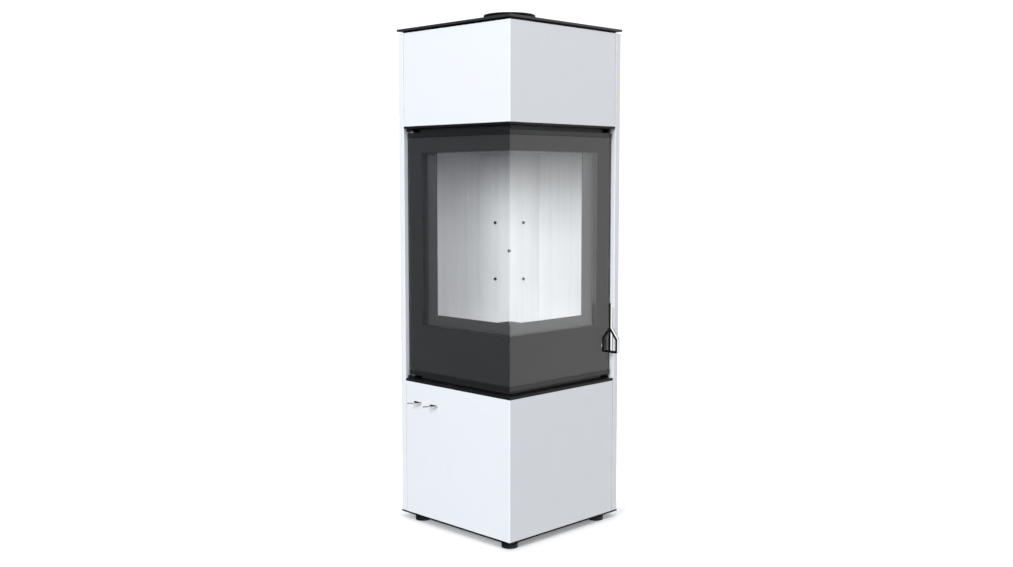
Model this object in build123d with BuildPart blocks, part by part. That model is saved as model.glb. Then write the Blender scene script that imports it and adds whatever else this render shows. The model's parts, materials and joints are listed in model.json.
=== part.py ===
from build123d import *
import os
from math import radians, sin, sqrt

# Corner stove: a square column with a two-sided fire door on the front corner.
# Millimetres. +Z is up and the floor is z = 0. The front corner points to +X, -Y,
# the left face looks along -Y and the right face along +X. Places in the plan are
# measured from the column's middle, which stands at column_x, column_y, so that the
# origin lies under the middle of the whole object, handle and air levers included.

# ---------------------------------------------------------------- driving dimensions
column_width = 475.0          # each face of the square column
sheet = 2.0                   # painted cover sheet
fold_radius = 3.0             # outside radius of a fold in the cover sheet
seam = 1.0                    # open joint between two covers
fit_gap = 0.3                 # clearance between pieces that only lie side by side
running_gap = 0.05            # radial clearance of a pin or shaft

foot_height = 17.0            # floor to underside of the base plate
base_thickness = 5.0
lower_cover_height = 410.0
lower_shelf_thickness = 7.5
door_gap_below = 12.0
rail_height = 14.0            # dark rail above and below the glass
glass_height = 709.0
door_gap_above = 13.0
upper_shelf_thickness = 6.5
upper_cover_height = 277.0
shadow_gap = 6.5              # dark line under the top plate
top_thickness = 6.5
top_overhang = 3.0
collar_stand = 41.5           # flue collar above the top plate

strip_width = 22.5            # rear panel's edge that shows on each front face
strip_return = 20.0           # its fold beside the door
cover_return = 14.0           # fold at each end of a cover
rear_flange = 20.0            # fold that joins the rear panels

foot_radius = 24.0
foot_pad_height = 12.0
foot_inset = 28.0             # front foot from both faces
far_foot_inset = 70.0         # the other feet from the rear and side faces
stud_radius = 5.0
nut_across_flats = 17.0
nut_height = 8.0

door_recess = 12.0            # glass behind the cover faces
door_side_gap = 4.0           # door edge to the rear panel's fold
glass_thickness = 4.0
door_depth = 20.0             # glass face to the back of the door frame
door_sheet = 3.0              # steel of the door frame
window_inset = 61.0           # clear window from the door's side edges
window_bottom = 143.5         # clear window above the lower rail
window_top = 45.5             # clear window below the upper rail
hinge_inset = 13.0            # hinge axis from the door's left edge
hinge_back = 8.0              # hinge axis behind the glass face
pin_radius = 4.0
pin_engagement = 11.5         # pin inside the door's rail
bracket_height = 9.0
bracket_width = 28.0
bracket_depth = 24.0
washer_radius = 8.0

frame_recess = 40.0           # front frame of the fire chamber behind the covers
plate = 4.0                   # steel plate of the fire chamber
frame_opening_inset = 126.0   # fire opening from the column's side faces
frame_opening_bottom = 200.5  # fire opening above the lower shelf
lintel_clear = 1.0            # lintel's lower edge above the clear window
convection_gap = 33.5         # air gap behind the fire chamber
chamber_rise = 32.0           # underside of the chamber's roof above the upper shelf
chamber_chamfer = 177.0       # middle of the column to the outside of the back wall
chamber_floor_height = 80.5   # floor plate above the lower shelf
lining = 30.0                 # vermiculite panel
lining_gap = 3.0
hearth_thickness = 73.0
baffle_thickness = 22.0
baffle_front_gap = 70.0       # smoke passage in front of the lower baffle
deflector_front_gap = 40.0
deflector_rise = 45.0         # upper deflector above the lower baffle
deflector_thickness = 3.0

air_jet_radius = 5.0          # burn-air holes in the back lining
air_jet_pitch_x = 89.0
air_jet_pitch_z = 179.5
air_jet_height = 225.0        # middle hole above the hearth
guard_height = 22.0           # log guard at the front of the hearth
guard_inset = 6.0
bolt_head_radius = 7.0
bolt_head_height = 5.0
bolt_spacing = 160.0
strap_width = 20.0            # straps that hang the upper deflector from the roof
strap_thickness = 4.0
strap_foot = 14.0
strap_spread = 105.0
jet_feed_length = 150.0       # slot that feeds the burn-air holes

pan_size = 170.0
pan_height = 46.0
pan_sheet = 1.5
grate_size = 190.0
grate_thickness = 12.0
grate_slot = 9.0
grate_bar = 8.0
hearth_clearance = 2.0        # loose pieces in the hearth

flue_bore = 75.0              # radius of the bore that takes a 150 mm flue pipe
flue_wall = 3.0
flue_flange = 190.0           # side of its square flange
flue_flange_thickness = 5.0
spigot_height = 50.0
stop_ring_height = 4.0        # ring inside the collar that the flue pipe stands on
inlet_bore = 50.3             # radius of the socket for a 100 mm fresh-air duct
inlet_wall = 1.5
inlet_floor_gap = 3.0
inlet_stand = 20.0            # spigot above the base plate, inside the fresh-air pipe

vent_inset = 45.0             # vent rows from the ends of the rear panels
vent_pitch = 38.0
vent_count = 9
vent_length = 40.0
vent_width = 6.0

post_width = 17.0
post_sheet = 2.5
post_gap = 2.7                # post to the foot nuts or the panels' folds
top_frame_inset = 11.5        # black frame under the top plate, from the column's faces
top_frame_width = 25.0
shield_sheet = 1.5
shield_inset = 37.5           # ends of a heat shield from the column's faces
shield_gap = 14.0             # heat shield from the rear panel
air_hole = 84.0               # combustion air passes up through the shelf and the floor plate
convection_slot_length = 300.0

slot_height = 5.0
slot_length = 36.0
slot_pitch = 72.0
first_slot_inset = 79.0       # middle of the left slot from the column's left face
slot_drop = 61.0              # slots below the top of the lower cover
lever_width = 8.0
lever_thickness = 3.0
lever_grip = 34.0
lever_stand = 8.0
slot_end_gap = 1.0
lever_bend = 45.0             # degrees that the lever's grip is bent
valve_depth = 74.0
valve_port_length = 40.0
valve_lap = 2.0               # valve plate past the edges of its port
valve_inset = 88.0            # front edge of the valve plates behind the left face
valve_margin = 12.0           # air box in front of the valve plates
rail_width = 7.0
inlet_box_height = 45.0
air_box_depth = 225.0
air_box_width = 240.0
air_box_inset = 57.0          # air box from the column's left face

handle_height = 151.0
handle_rise = 73.5            # bottom of the handle above the lower edge of the door
handle_width = 59.5
handle_loop_height = 81.0
handle_knee_height = 43.0
handle_strip = 7.5
handle_depth = 11.0
handle_stand = 1.5            # inner arm in front of the glass
handle_edge_gap = 27.0        # handle from the door's free edge
shaft_radius = 5.0
bush_radius = 7.0
bush_proud = 1.0              # bush ends past the glass and the door frame
shaft_rise = 19.5             # handle shaft above the handle's lower edge
handle_bevel = 14.0           # sloping top of the handle's blade
handle_round = 4.0
hook_length = 19.0
hook_thickness = 4.0
hook_width = 10.0
hook_end = 7.0                # hook past the middle of the shaft, on each side
catch_size = 12.0
catch_gap = 0.5               # hook above the catch
catch_front_gap = 1.0         # catch to the back of the door
seal_width = 10.0
seal_margin = 3.0             # seal from the edge of the window
glass_edge_round = 1.2
screw_head_radius = 5.0
screw_head_height = 2.0
panel_screw_count = 5

# ---------------------------------------------------------------- heights
base_bottom = foot_height
cover_bottom = base_bottom + base_thickness
lower_cover_top = cover_bottom + lower_cover_height
lower_shelf_top = lower_cover_top + lower_shelf_thickness
door_bottom = lower_shelf_top + door_gap_below
glass_bottom = door_bottom + rail_height
glass_top = glass_bottom + glass_height
door_top = glass_top + rail_height
upper_shelf_bottom = door_top + door_gap_above
upper_cover_bottom = upper_shelf_bottom + upper_shelf_thickness
upper_cover_top = upper_cover_bottom + upper_cover_height
top_bottom = upper_cover_top + shadow_gap
top_top = top_bottom + top_thickness
collar_top = top_top + collar_stand

# ---------------------------------------------------------------- plan
half = column_width / 2
strip_edge = half - strip_width            # inner edge of the rear panels' strips
cover_end = strip_edge - seam              # end of each cover
glass_face = half - door_recess
glass_back = glass_face - glass_thickness
door_back = glass_face - door_depth
door_edge = strip_edge - door_side_gap
frame_face = half - frame_recess
frame_back = frame_face - plate
chamber_side = half - sheet - convection_gap
chamber_inside = chamber_side - plate
lining_outside = chamber_inside - lining_gap
lining_inside = lining_outside - lining
hinge_x = hinge_inset - door_edge
hinge_y = hinge_back - glass_face
handle_inner = glass_face + handle_stand
handle_outer = handle_inner + handle_width
handle_y = door_edge - handle_edge_gap - handle_depth / 2
lever_reach = lever_stand + (lever_grip + lever_width / 2) * sin(radians(lever_bend))

# The object reaches past the top plate only with its handle and its air levers.
column_x = (half + top_overhang - handle_outer) / 2
column_y = (lever_reach - top_overhang) / 2
middle = Plane(origin=(column_x, column_y, 0))

shield_place = half - sheet - shield_gap
shield_width = 2 * (half - shield_inset)
pedestal_post_inset = foot_inset + nut_across_flats / sqrt(3) + post_gap + post_width / 2
hood_post_inset = strip_return + post_gap + post_width / 2
inlet_hole = inlet_bore + inlet_wall + fit_gap
slot_z = lower_cover_top - slot_drop
slot_middles = [first_slot_inset - half, first_slot_inset + slot_pitch - half]
valve_travel = slot_length - lever_width - 2 * slot_end_gap
lever_offset = valve_travel / 2                   # at rest each lever is at the slot's right end
valve_port_width = slot_pitch - 2 * (valve_travel + valve_lap + seam)
feet = [
    (half - foot_inset, foot_inset - half),
    (far_foot_inset - half, foot_inset - half),
    (half - foot_inset, half - far_foot_inset),
    (far_foot_inset - half, half - far_foot_inset),
]
chamber_floor = lower_shelf_top + chamber_floor_height
hearth_bottom = chamber_floor + plate
hearth_top = hearth_bottom + hearth_thickness
window_low = glass_bottom + window_bottom
window_high = glass_top - window_top
frame_sill = lower_shelf_top + frame_opening_bottom
frame_lintel = window_high + lintel_clear
chamber_top = upper_cover_bottom + chamber_rise
lining_height = frame_lintel - hearth_top
baffle_bottom = frame_lintel
deflector_bottom = baffle_bottom + baffle_thickness + deflector_rise
os.makedirs("parts", exist_ok=True)


def save(name, label):
    name.part.label = label
    export_step(name.part, f"parts/{label}.step")


def level(height):
    return middle.offset(height)


def corner_band(face, depth, left_end, right_end):
    """An angle in the plan: its outside lies on both faces at distance face."""
    with BuildSketch() as band:
        with BuildLine():
            Polyline(
                (left_end, -face), (face, -face), (face, right_end),
                (face - depth, right_end), (face - depth, depth - face),
                (left_end, depth - face), close=True,
            )
        make_face()
    return band.sketch


def chamber_plan(side, front, chamfer):
    """The fire chamber in the plan: a square whose rear corner is cut off."""
    cut = chamfer * sqrt(2)
    with BuildSketch() as plan:
        with BuildLine():
            Polyline(
                (-side, -front), (front, -front), (front, side),
                (side - cut, side), (-side, cut - side), close=True,
            )
        make_face()
    return plan.sketch


# ---------------------------------------------------------------- base and feet
with BuildPart() as base_plate:
    with BuildSketch(level(base_bottom)):
        Rectangle(column_width, column_width)
        with Locations(*feet):
            Circle(stud_radius, mode=Mode.SUBTRACT)
        Circle(inlet_hole, mode=Mode.SUBTRACT)
    extrude(amount=base_thickness)
save(base_plate, "base_plate")

with BuildPart() as foot_pads:
    with BuildSketch(level(0)):
        with Locations(*feet):
            Circle(foot_radius)
    extrude(amount=foot_pad_height)
save(foot_pads, "foot_pads")

with BuildPart() as foot_studs:
    with BuildSketch(level(foot_pad_height)):
        with Locations(*feet):
            Circle(stud_radius)
    extrude(amount=cover_bottom - foot_pad_height)
save(foot_studs, "foot_studs")

with BuildPart() as foot_nuts:
    with BuildSketch(level(cover_bottom)):
        with Locations(*feet):
            RegularPolygon(nut_across_flats / 2, 6, major_radius=False)
    extrude(amount=nut_height)
save(foot_nuts, "foot_nuts")

# ---------------------------------------------------------------- painted covers
cover_path = [
    (-cover_end, cover_return - half), (-cover_end, -half), (half, -half),
    (half, cover_end), (half - cover_return, cover_end),
]
with BuildPart() as lower_cover:
    with BuildSketch(level(cover_bottom)):
        with BuildLine():
            FilletPolyline(*cover_path, radius=fold_radius)
            offset(amount=sheet, side=Side.LEFT)
        make_face()
    extrude(amount=lower_cover_height)
    left_face = Plane(origin=(column_x, column_y - half, slot_z), z_dir=(0, -1, 0), x_dir=(1, 0, 0))
    with BuildSketch(left_face):
        with Locations(*[(x, 0) for x in slot_middles]):
            SlotOverall(slot_length, slot_height)
    extrude(amount=-2 * sheet, mode=Mode.SUBTRACT)
save(lower_cover, "lower_cover")

with BuildPart() as upper_cover:
    with BuildSketch(level(upper_cover_bottom)):
        with BuildLine():
            FilletPolyline(*cover_path, radius=fold_radius)
            offset(amount=sheet, side=Side.LEFT)
        make_face()
    extrude(amount=upper_cover_height)
save(upper_cover, "upper_cover")

vent_rows = [cover_bottom + vent_inset, upper_cover_top - vent_inset]
with BuildPart() as rear_left_panel:
    with BuildSketch(level(cover_bottom)):
        with BuildLine():
            FilletPolyline(
                (-half + rear_flange, half - sheet - fit_gap), (-half, half - sheet - fit_gap),
                (-half, -half), (-strip_edge, -half), (-strip_edge, strip_return - half),
                radius=fold_radius,
            )
            offset(amount=sheet, side=Side.LEFT)
        make_face()
    extrude(amount=upper_cover_top - cover_bottom)
    with BuildSketch(Plane(origin=(column_x - half, column_y, 0), z_dir=(-1, 0, 0), x_dir=(0, -1, 0))):
        for height in vent_rows:
            with Locations((0, height)):
                with GridLocations(vent_pitch, 0, vent_count, 1):
                    Rectangle(vent_width, vent_length)
    extrude(amount=-2 * sheet, mode=Mode.SUBTRACT)
save(rear_left_panel, "rear_left_panel")

with BuildPart() as rear_right_panel:
    with BuildSketch(level(cover_bottom)):
        with BuildLine():
            FilletPolyline(
                (half - strip_return, strip_edge), (half, strip_edge), (half, half), (-half, half),
                radius=fold_radius,
            )
            offset(amount=sheet, side=Side.LEFT)
        make_face()
    extrude(amount=upper_cover_top - cover_bottom)
    with BuildSketch(Plane(origin=(column_x, column_y + half, 0), z_dir=(0, 1, 0), x_dir=(-1, 0, 0))):
        for height in vent_rows:
            with Locations((0, height)):
                with GridLocations(vent_pitch, 0, vent_count, 1):
                    Rectangle(vent_width, vent_length)
    extrude(amount=-2 * sheet, mode=Mode.SUBTRACT)
save(rear_right_panel, "rear_right_panel")

# ---------------------------------------------------------------- plates and inner posts
shelf_back = half - sheet - sheet - fit_gap * 2 - seam
strip_notch = half - strip_return - seam
shelf_outline = [
    (-cover_end, -half), (half, -half), (half, cover_end), (strip_notch, cover_end),
    (strip_notch, shelf_back), (-shelf_back, shelf_back), (-shelf_back, -strip_notch),
    (-cover_end, -strip_notch),
]
# Room air rises through slots in both shelves, between the fire chamber and the heat shields.
convection_width = shield_place - shield_sheet / 2 - seam - chamber_side
convection_place = chamber_side + convection_width / 2

with BuildPart() as lower_shelf:
    with BuildSketch(level(lower_cover_top)):
        with BuildLine():
            Polyline(*shelf_outline, close=True)
        make_face()
        Rectangle(air_hole, air_hole, mode=Mode.SUBTRACT)
        with Locations((-convection_place, 0)):
            Rectangle(convection_width, convection_slot_length, mode=Mode.SUBTRACT)
        with Locations((0, convection_place)):
            Rectangle(convection_slot_length, convection_width, mode=Mode.SUBTRACT)
    extrude(amount=lower_shelf_thickness)
save(lower_shelf, "lower_shelf")

with BuildPart() as upper_shelf:
    with BuildSketch(level(upper_shelf_bottom)):
        with BuildLine():
            Polyline(*shelf_outline, close=True)
        make_face()
        add(chamber_plan(chamber_side + seam, frame_face + seam, chamber_chamfer + seam), mode=Mode.SUBTRACT)
        with Locations((-convection_place, 0)):
            Rectangle(convection_width, convection_slot_length, mode=Mode.SUBTRACT)
        with Locations((0, convection_place)):
            Rectangle(convection_slot_length, convection_width, mode=Mode.SUBTRACT)
    extrude(amount=upper_shelf_thickness)
save(upper_shelf, "upper_shelf")

with BuildPart() as top_plate:
    with BuildSketch(level(top_bottom)):
        Rectangle(column_width + 2 * top_overhang, column_width + 2 * top_overhang)
        Circle(flue_bore + flue_wall + seam, mode=Mode.SUBTRACT)
    extrude(amount=top_thickness)
save(top_plate, "top_plate")

post_corners = [(-1, -1, 0), (1, -1, 90), (1, 1, 180), (-1, 1, 270)]


def angle_posts(low, high, place):
    """Four folded angle posts that stand in the corners of the column."""
    with BuildPart() as posts:
        for side_x, side_y, turn in post_corners:
            with BuildSketch(level(low)):
                with Locations(Location((side_x * place, side_y * place, 0), (0, 0, turn))):
                    Rectangle(post_width, post_width)
                    with Locations((post_sheet / 2, post_sheet / 2)):
                        Rectangle(post_width - post_sheet, post_width - post_sheet, mode=Mode.SUBTRACT)
            extrude(amount=high - low)
    return posts


save(angle_posts(cover_bottom, lower_cover_top, half - pedestal_post_inset), "pedestal_posts")
save(angle_posts(upper_cover_bottom, upper_cover_top, half - hood_post_inset), "hood_posts")

with BuildPart() as top_frame:
    with BuildSketch(level(upper_cover_top)):
        Rectangle(column_width - 2 * top_frame_inset, column_width - 2 * top_frame_inset)
        offset(amount=-top_frame_width, mode=Mode.SUBTRACT)
    extrude(amount=shadow_gap)
save(top_frame, "top_frame")

with BuildPart() as left_heat_shield:
    with BuildSketch(level(lower_shelf_top)):
        with Locations((-shield_place, 0)):
            Rectangle(shield_sheet, shield_width)
    extrude(amount=upper_shelf_bottom - lower_shelf_top)
save(left_heat_shield, "left_heat_shield")

with BuildPart() as right_heat_shield:
    with BuildSketch(level(lower_shelf_top)):
        with Locations((0, shield_place)):
            Rectangle(shield_width, shield_sheet)
    extrude(amount=upper_shelf_bottom - lower_shelf_top)
save(right_heat_shield, "right_heat_shield")

# ---------------------------------------------------------------- combustion air
with BuildPart() as air_inlet_spigot:
    with BuildSketch(level(inlet_floor_gap)):
        Circle(inlet_bore + inlet_wall)
        Circle(inlet_bore, mode=Mode.SUBTRACT)
    extrude(amount=cover_bottom + inlet_stand - inlet_floor_gap)
save(air_inlet_spigot, "air_inlet_spigot")

air_box_top = lower_cover_top
air_box_bottom = slot_z + lever_thickness / 2 + fit_gap
air_box_left = air_box_inset - half
valve_front = valve_inset - half
air_box_front = valve_front - valve_margin
inlet_box_top = slot_z - lever_thickness / 2 - fit_gap
inlet_box_bottom = inlet_box_top - inlet_box_height
valve_ports = [(x + lever_offset, valve_front + valve_depth / 2) for x in slot_middles]

with BuildPart() as fresh_air_pipe:
    with BuildSketch(level(cover_bottom)):
        Circle(inlet_hole + inlet_wall)
        Circle(inlet_hole, mode=Mode.SUBTRACT)
    extrude(amount=inlet_box_bottom - cover_bottom)
save(fresh_air_pipe, "fresh_air_pipe")


def air_box_shell(bottom, height):
    """A closed box of folded sheet with a port for each valve in the plate beside the valves."""
    with BuildPart() as shell:
        with BuildSketch(level(bottom)):
            with Locations((air_box_left, air_box_front)):
                Rectangle(air_box_width, air_box_depth, align=(Align.MIN, Align.MIN))
        extrude(amount=height)
        with BuildSketch(level(bottom + sheet)):
            with Locations((air_box_left + sheet, air_box_front + sheet)):
                Rectangle(air_box_width - 2 * sheet, air_box_depth - 2 * sheet, align=(Align.MIN, Align.MIN))
        extrude(amount=height - 2 * sheet, mode=Mode.SUBTRACT)
    return shell


def valve_port(places):
    """Slots across the valves' travel, in one plane."""
    with BuildSketch() as ports:
        with Locations(*places):
            Rectangle(valve_port_width, valve_port_length)
    return ports.sketch


# The duct fills the inlet box, the valves let air through to the air box above it, and from
# there it passes up through the shelf to the grate and the holes in the back lining.
with BuildPart() as inlet_box:
    add(air_box_shell(inlet_box_bottom, inlet_box_height).part)
    with BuildSketch(level(inlet_box_top)):
        add(valve_port(valve_ports))
    extrude(amount=-sheet, mode=Mode.SUBTRACT)
    with BuildSketch(level(inlet_box_bottom)):
        Circle(inlet_hole)
    extrude(amount=sheet, mode=Mode.SUBTRACT)
save(inlet_box, "inlet_box")

with BuildPart() as air_box:
    add(air_box_shell(air_box_bottom, air_box_top - air_box_bottom).part)
    with BuildSketch(level(air_box_bottom)):
        add(valve_port(valve_ports))
    extrude(amount=sheet, mode=Mode.SUBTRACT)
    with BuildSketch(level(air_box_top)):
        Rectangle(air_hole, air_hole)
    extrude(amount=-sheet, mode=Mode.SUBTRACT)
save(air_box, "air_box")


def air_valve(port):
    """A valve plate between the two boxes with its port, and the lever that slides it."""
    x = port[0]
    bottom = slot_z - lever_thickness / 2
    bend_y = -half - lever_stand
    reach = lever_grip * sin(radians(lever_bend))
    plate_left = x - valve_port_width / 2 - valve_lap
    with BuildPart() as plate_part:
        with BuildSketch(level(bottom)):
            with Locations((plate_left, valve_front)):
                plate_width = valve_port_width + 2 * valve_lap + valve_travel
                Rectangle(plate_width, valve_depth, align=(Align.MIN, Align.MIN))
            add(valve_port([port]), mode=Mode.SUBTRACT)
        extrude(amount=lever_thickness)
    with BuildPart() as lever_part:
        with BuildSketch(level(bottom)):
            with BuildLine() as lever_path:
                Polyline((x, valve_front), (x, bend_y), (x - reach, bend_y - reach))
            trace(lever_path.line, line_width=lever_width)
        extrude(amount=lever_thickness)
        with BuildSketch(level(bottom)):
            with Locations((x, valve_front)):
                Rectangle(2 * lever_width, lever_width, align=(Align.CENTER, Align.MIN))
        extrude(amount=lever_thickness, mode=Mode.SUBTRACT)
        grip_end = lever_part.edges().filter_by(Axis.Z).sort_by(lambda edge: (edge @ 0).X + (edge @ 0).Y)[:2]
        fillet(grip_end, lever_width / 3)
    return plate_part, lever_part


for name, port in zip(("primary", "secondary"), valve_ports):
    valve_plate, valve_lever = air_valve(port)
    save(valve_plate, f"{name}_air_valve")
    save(valve_lever, f"{name}_air_lever")

# Flat rails between the two boxes guide the valve plates; the front one is cut for the levers.
rail_right = valve_ports[-1][0] + valve_port_width / 2 + valve_lap + valve_travel
with BuildPart() as valve_rails:
    with BuildSketch(level(inlet_box_top)):
        for edge, outward in ((valve_front, -1), (valve_front + valve_depth, 1)):
            with Locations(((air_box_left + rail_right) / 2, edge + outward * (fit_gap + rail_width / 2))):
                Rectangle(rail_right - air_box_left, rail_width)
        with Locations(*[(x, valve_front) for x in slot_middles]):
            Rectangle(slot_length, 4 * rail_width, mode=Mode.SUBTRACT)
    extrude(amount=air_box_bottom - inlet_box_top)
save(valve_rails, "valve_rails")

# ---------------------------------------------------------------- fire chamber
chamber_height = chamber_top - lower_shelf_top
chamber_outline = chamber_plan(chamber_side, frame_face, chamber_chamfer)
inside_chamfer = chamber_chamfer - plate
corner_x = chamber_inside - inside_chamfer * sqrt(2)    # where side and back wall meet, inside

with BuildPart() as chamber_left_wall:
    with BuildSketch(level(lower_shelf_top)):
        with BuildLine():
            Polyline(
                (-chamber_side, -frame_back), (-chamber_inside, -frame_back),
                (-chamber_inside, -corner_x), (-chamber_side, chamber_chamfer * sqrt(2) - chamber_side),
                close=True,
            )
        make_face()
    extrude(amount=chamber_height)
save(chamber_left_wall, "chamber_left_wall")

with BuildPart() as chamber_right_wall:
    add(chamber_left_wall.part.mirror(Plane(origin=(column_x, column_y, 0), z_dir=(1, 1, 0))))
save(chamber_right_wall, "chamber_right_wall")

with BuildPart() as chamber_back_wall:
    with BuildSketch(level(lower_shelf_top)):
        with BuildLine():
            Polyline(
                (-chamber_side, chamber_chamfer * sqrt(2) - chamber_side), (-chamber_inside, -corner_x),
                (corner_x, chamber_inside), (chamber_side - chamber_chamfer * sqrt(2), chamber_side),
                close=True,
            )
        make_face()
    extrude(amount=chamber_height)
save(chamber_back_wall, "chamber_back_wall")

inside_outline = chamber_plan(chamber_inside - fit_gap, frame_back - fit_gap, inside_chamfer - fit_gap)
with BuildPart() as chamber_floor_plate:
    with BuildSketch(level(chamber_floor)):
        add(inside_outline)
        Rectangle(air_hole, air_hole, mode=Mode.SUBTRACT)
        feed_place = (inside_chamfer - lining_gap / 2) / sqrt(2)
        with Locations(Location((-feed_place, feed_place, 0), (0, 0, 45))):
            Rectangle(jet_feed_length, lining_gap, mode=Mode.SUBTRACT)
    extrude(amount=plate)
save(chamber_floor_plate, "chamber_floor_plate")

with BuildPart() as chamber_roof:
    with BuildSketch(level(chamber_top)):
        add(chamber_outline)
        Circle(flue_bore, mode=Mode.SUBTRACT)
    extrude(amount=plate)
save(chamber_roof, "chamber_roof")

frame_edge = half - frame_opening_inset


def frame_wing(sketch_plane, left, right, opening_left, opening_right):
    """One face of the front frame: a plate whose opening runs out over the front corner."""
    with BuildPart() as wing:
        with BuildSketch(sketch_plane):
            with Locations(((left + right) / 2, (lower_shelf_top + chamber_top) / 2)):
                Rectangle(right - left, chamber_height)
            with Locations(((opening_left + opening_right) / 2, (frame_sill + frame_lintel) / 2)):
                Rectangle(opening_right - opening_left, frame_lintel - frame_sill, mode=Mode.SUBTRACT)
        extrude(amount=-plate)
    return wing


left_frame_plane = Plane(origin=(column_x, column_y - frame_face, 0), z_dir=(0, -1, 0), x_dir=(1, 0, 0))
right_frame_plane = Plane(origin=(column_x + frame_face, column_y, 0), z_dir=(1, 0, 0), x_dir=(0, 1, 0))
front_frame_left = frame_wing(left_frame_plane, -chamber_side, frame_face, -frame_edge, frame_face)
save(front_frame_left, "front_frame_left")
front_frame_right = frame_wing(right_frame_plane, -frame_back, chamber_side, -frame_back, frame_edge)
save(front_frame_right, "front_frame_right")

# ---------------------------------------------------------------- vermiculite lining
lining_chamfer = inside_chamfer - lining_gap
lining_face_chamfer = lining_chamfer - lining
back_corner_out = lining_outside - lining_chamfer * sqrt(2)
back_corner_in = lining_inside - lining_face_chamfer * sqrt(2)
lining_front = frame_back - fit_gap
with BuildPart() as lining_left:
    with BuildSketch(level(hearth_top)):
        with BuildLine():
            Polyline(
                (-lining_outside, -lining_front), (-lining_inside, -lining_front),
                (-lining_inside, -back_corner_in), (-lining_outside, -back_corner_out), close=True,
            )
        make_face()
    extrude(amount=lining_height)
save(lining_left, "lining_left")

with BuildPart() as lining_right:
    add(lining_left.part.mirror(Plane(origin=(column_x, column_y, 0), z_dir=(1, 1, 0))))
save(lining_right, "lining_right")

back_face = Plane(
    origin=(column_x - lining_face_chamfer / sqrt(2), column_y + lining_face_chamfer / sqrt(2), 0),
    z_dir=(1, -1, 0), x_dir=(1, 1, 0),
)
jet_middle = hearth_top + air_jet_height
with BuildPart() as lining_back:
    with BuildSketch(level(hearth_top)):
        with BuildLine():
            Polyline(
                (-lining_outside, -back_corner_out), (-lining_inside, -back_corner_in),
                (back_corner_in, lining_inside), (back_corner_out, lining_outside), close=True,
            )
        make_face()
    extrude(amount=lining_height)
    with BuildSketch(back_face):
        with Locations((0, jet_middle)):
            Circle(air_jet_radius)
            with GridLocations(air_jet_pitch_x, air_jet_pitch_z, 2, 2):
                Circle(air_jet_radius)
    extrude(amount=-2 * lining, mode=Mode.SUBTRACT)
save(lining_back, "lining_back")

hearth_outline = chamber_plan(lining_outside, lining_front, lining_chamfer)
with BuildPart() as hearth_slab:
    with BuildSketch(level(hearth_bottom)):
        add(hearth_outline)
        Rectangle(pan_size + 2 * hearth_clearance, pan_size + 2 * hearth_clearance, mode=Mode.SUBTRACT)
    extrude(amount=hearth_thickness)
    with BuildSketch(level(hearth_top - grate_thickness)):
        Rectangle(grate_size + 2 * hearth_clearance, grate_size + 2 * hearth_clearance)
    extrude(amount=grate_thickness, mode=Mode.SUBTRACT)
save(hearth_slab, "hearth_slab")

with BuildPart() as ash_pan:
    with BuildSketch(level(hearth_bottom)):
        Rectangle(pan_size, pan_size)
    extrude(amount=pan_height)
    with BuildSketch(level(hearth_bottom + pan_sheet)):
        Rectangle(pan_size - 2 * pan_sheet, pan_size - 2 * pan_sheet)
    extrude(amount=pan_height, mode=Mode.SUBTRACT)
save(ash_pan, "ash_pan")

grate_pitch = grate_slot + grate_bar
slots_across = int((grate_size - 2 * grate_bar) // grate_pitch)
with BuildPart() as grate:
    with BuildSketch(level(hearth_top - grate_thickness)):
        Rectangle(grate_size, grate_size)
        with GridLocations(grate_pitch, (grate_size - grate_bar) / 2, slots_across, 2):
            Rectangle(grate_slot, (grate_size - 3 * grate_bar) / 2, mode=Mode.SUBTRACT)
    extrude(amount=grate_thickness)
save(grate, "grate")

with BuildPart() as log_guard:
    with BuildSketch(level(hearth_top)):
        guard_end = frame_edge - guard_inset
        add(corner_band(lining_front - guard_inset, plate, -guard_end, guard_end))
    extrude(amount=guard_height)
save(log_guard, "log_guard")

with BuildPart() as baffle:
    with BuildSketch(level(baffle_bottom)):
        add(chamber_plan(lining_outside, lining_front - baffle_front_gap, lining_chamfer))
    extrude(amount=baffle_thickness)
save(baffle, "baffle")

strap_places = [(-strap_spread, -strap_spread), (strap_spread, -strap_spread), (strap_spread, strap_spread)]
with BuildPart() as smoke_deflector:
    with BuildSketch(level(deflector_bottom)):
        add(chamber_plan(
            lining_outside - deflector_front_gap, lining_front, lining_chamfer - deflector_front_gap,
        ))
        with Locations(*strap_places):
            Rectangle(strap_width + 2 * fit_gap, strap_thickness + 2 * fit_gap, mode=Mode.SUBTRACT)
    extrude(amount=deflector_thickness)
save(smoke_deflector, "smoke_deflector")

with BuildPart() as deflector_hooks:
    with BuildSketch(level(deflector_bottom - strap_thickness)):
        with Locations(*strap_places):
            Rectangle(strap_width, strap_foot)
    extrude(amount=strap_thickness)
    with BuildSketch(level(deflector_bottom)):
        with Locations(*strap_places):
            Rectangle(strap_width, strap_thickness)
    extrude(amount=chamber_top - deflector_bottom)
save(deflector_hooks, "deflector_hooks")

# ---------------------------------------------------------------- flue
with BuildPart() as flue_spigot:
    with BuildSketch(level(chamber_top + plate)):
        Rectangle(flue_flange, flue_flange)
    extrude(amount=flue_flange_thickness)
    with BuildSketch(level(chamber_top + plate)):
        Circle(flue_bore - fit_gap)
    extrude(amount=spigot_height)
    with Locations(level(chamber_top + plate)):
        Hole(flue_bore - fit_gap - flue_wall)
save(flue_spigot, "flue_spigot")

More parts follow.
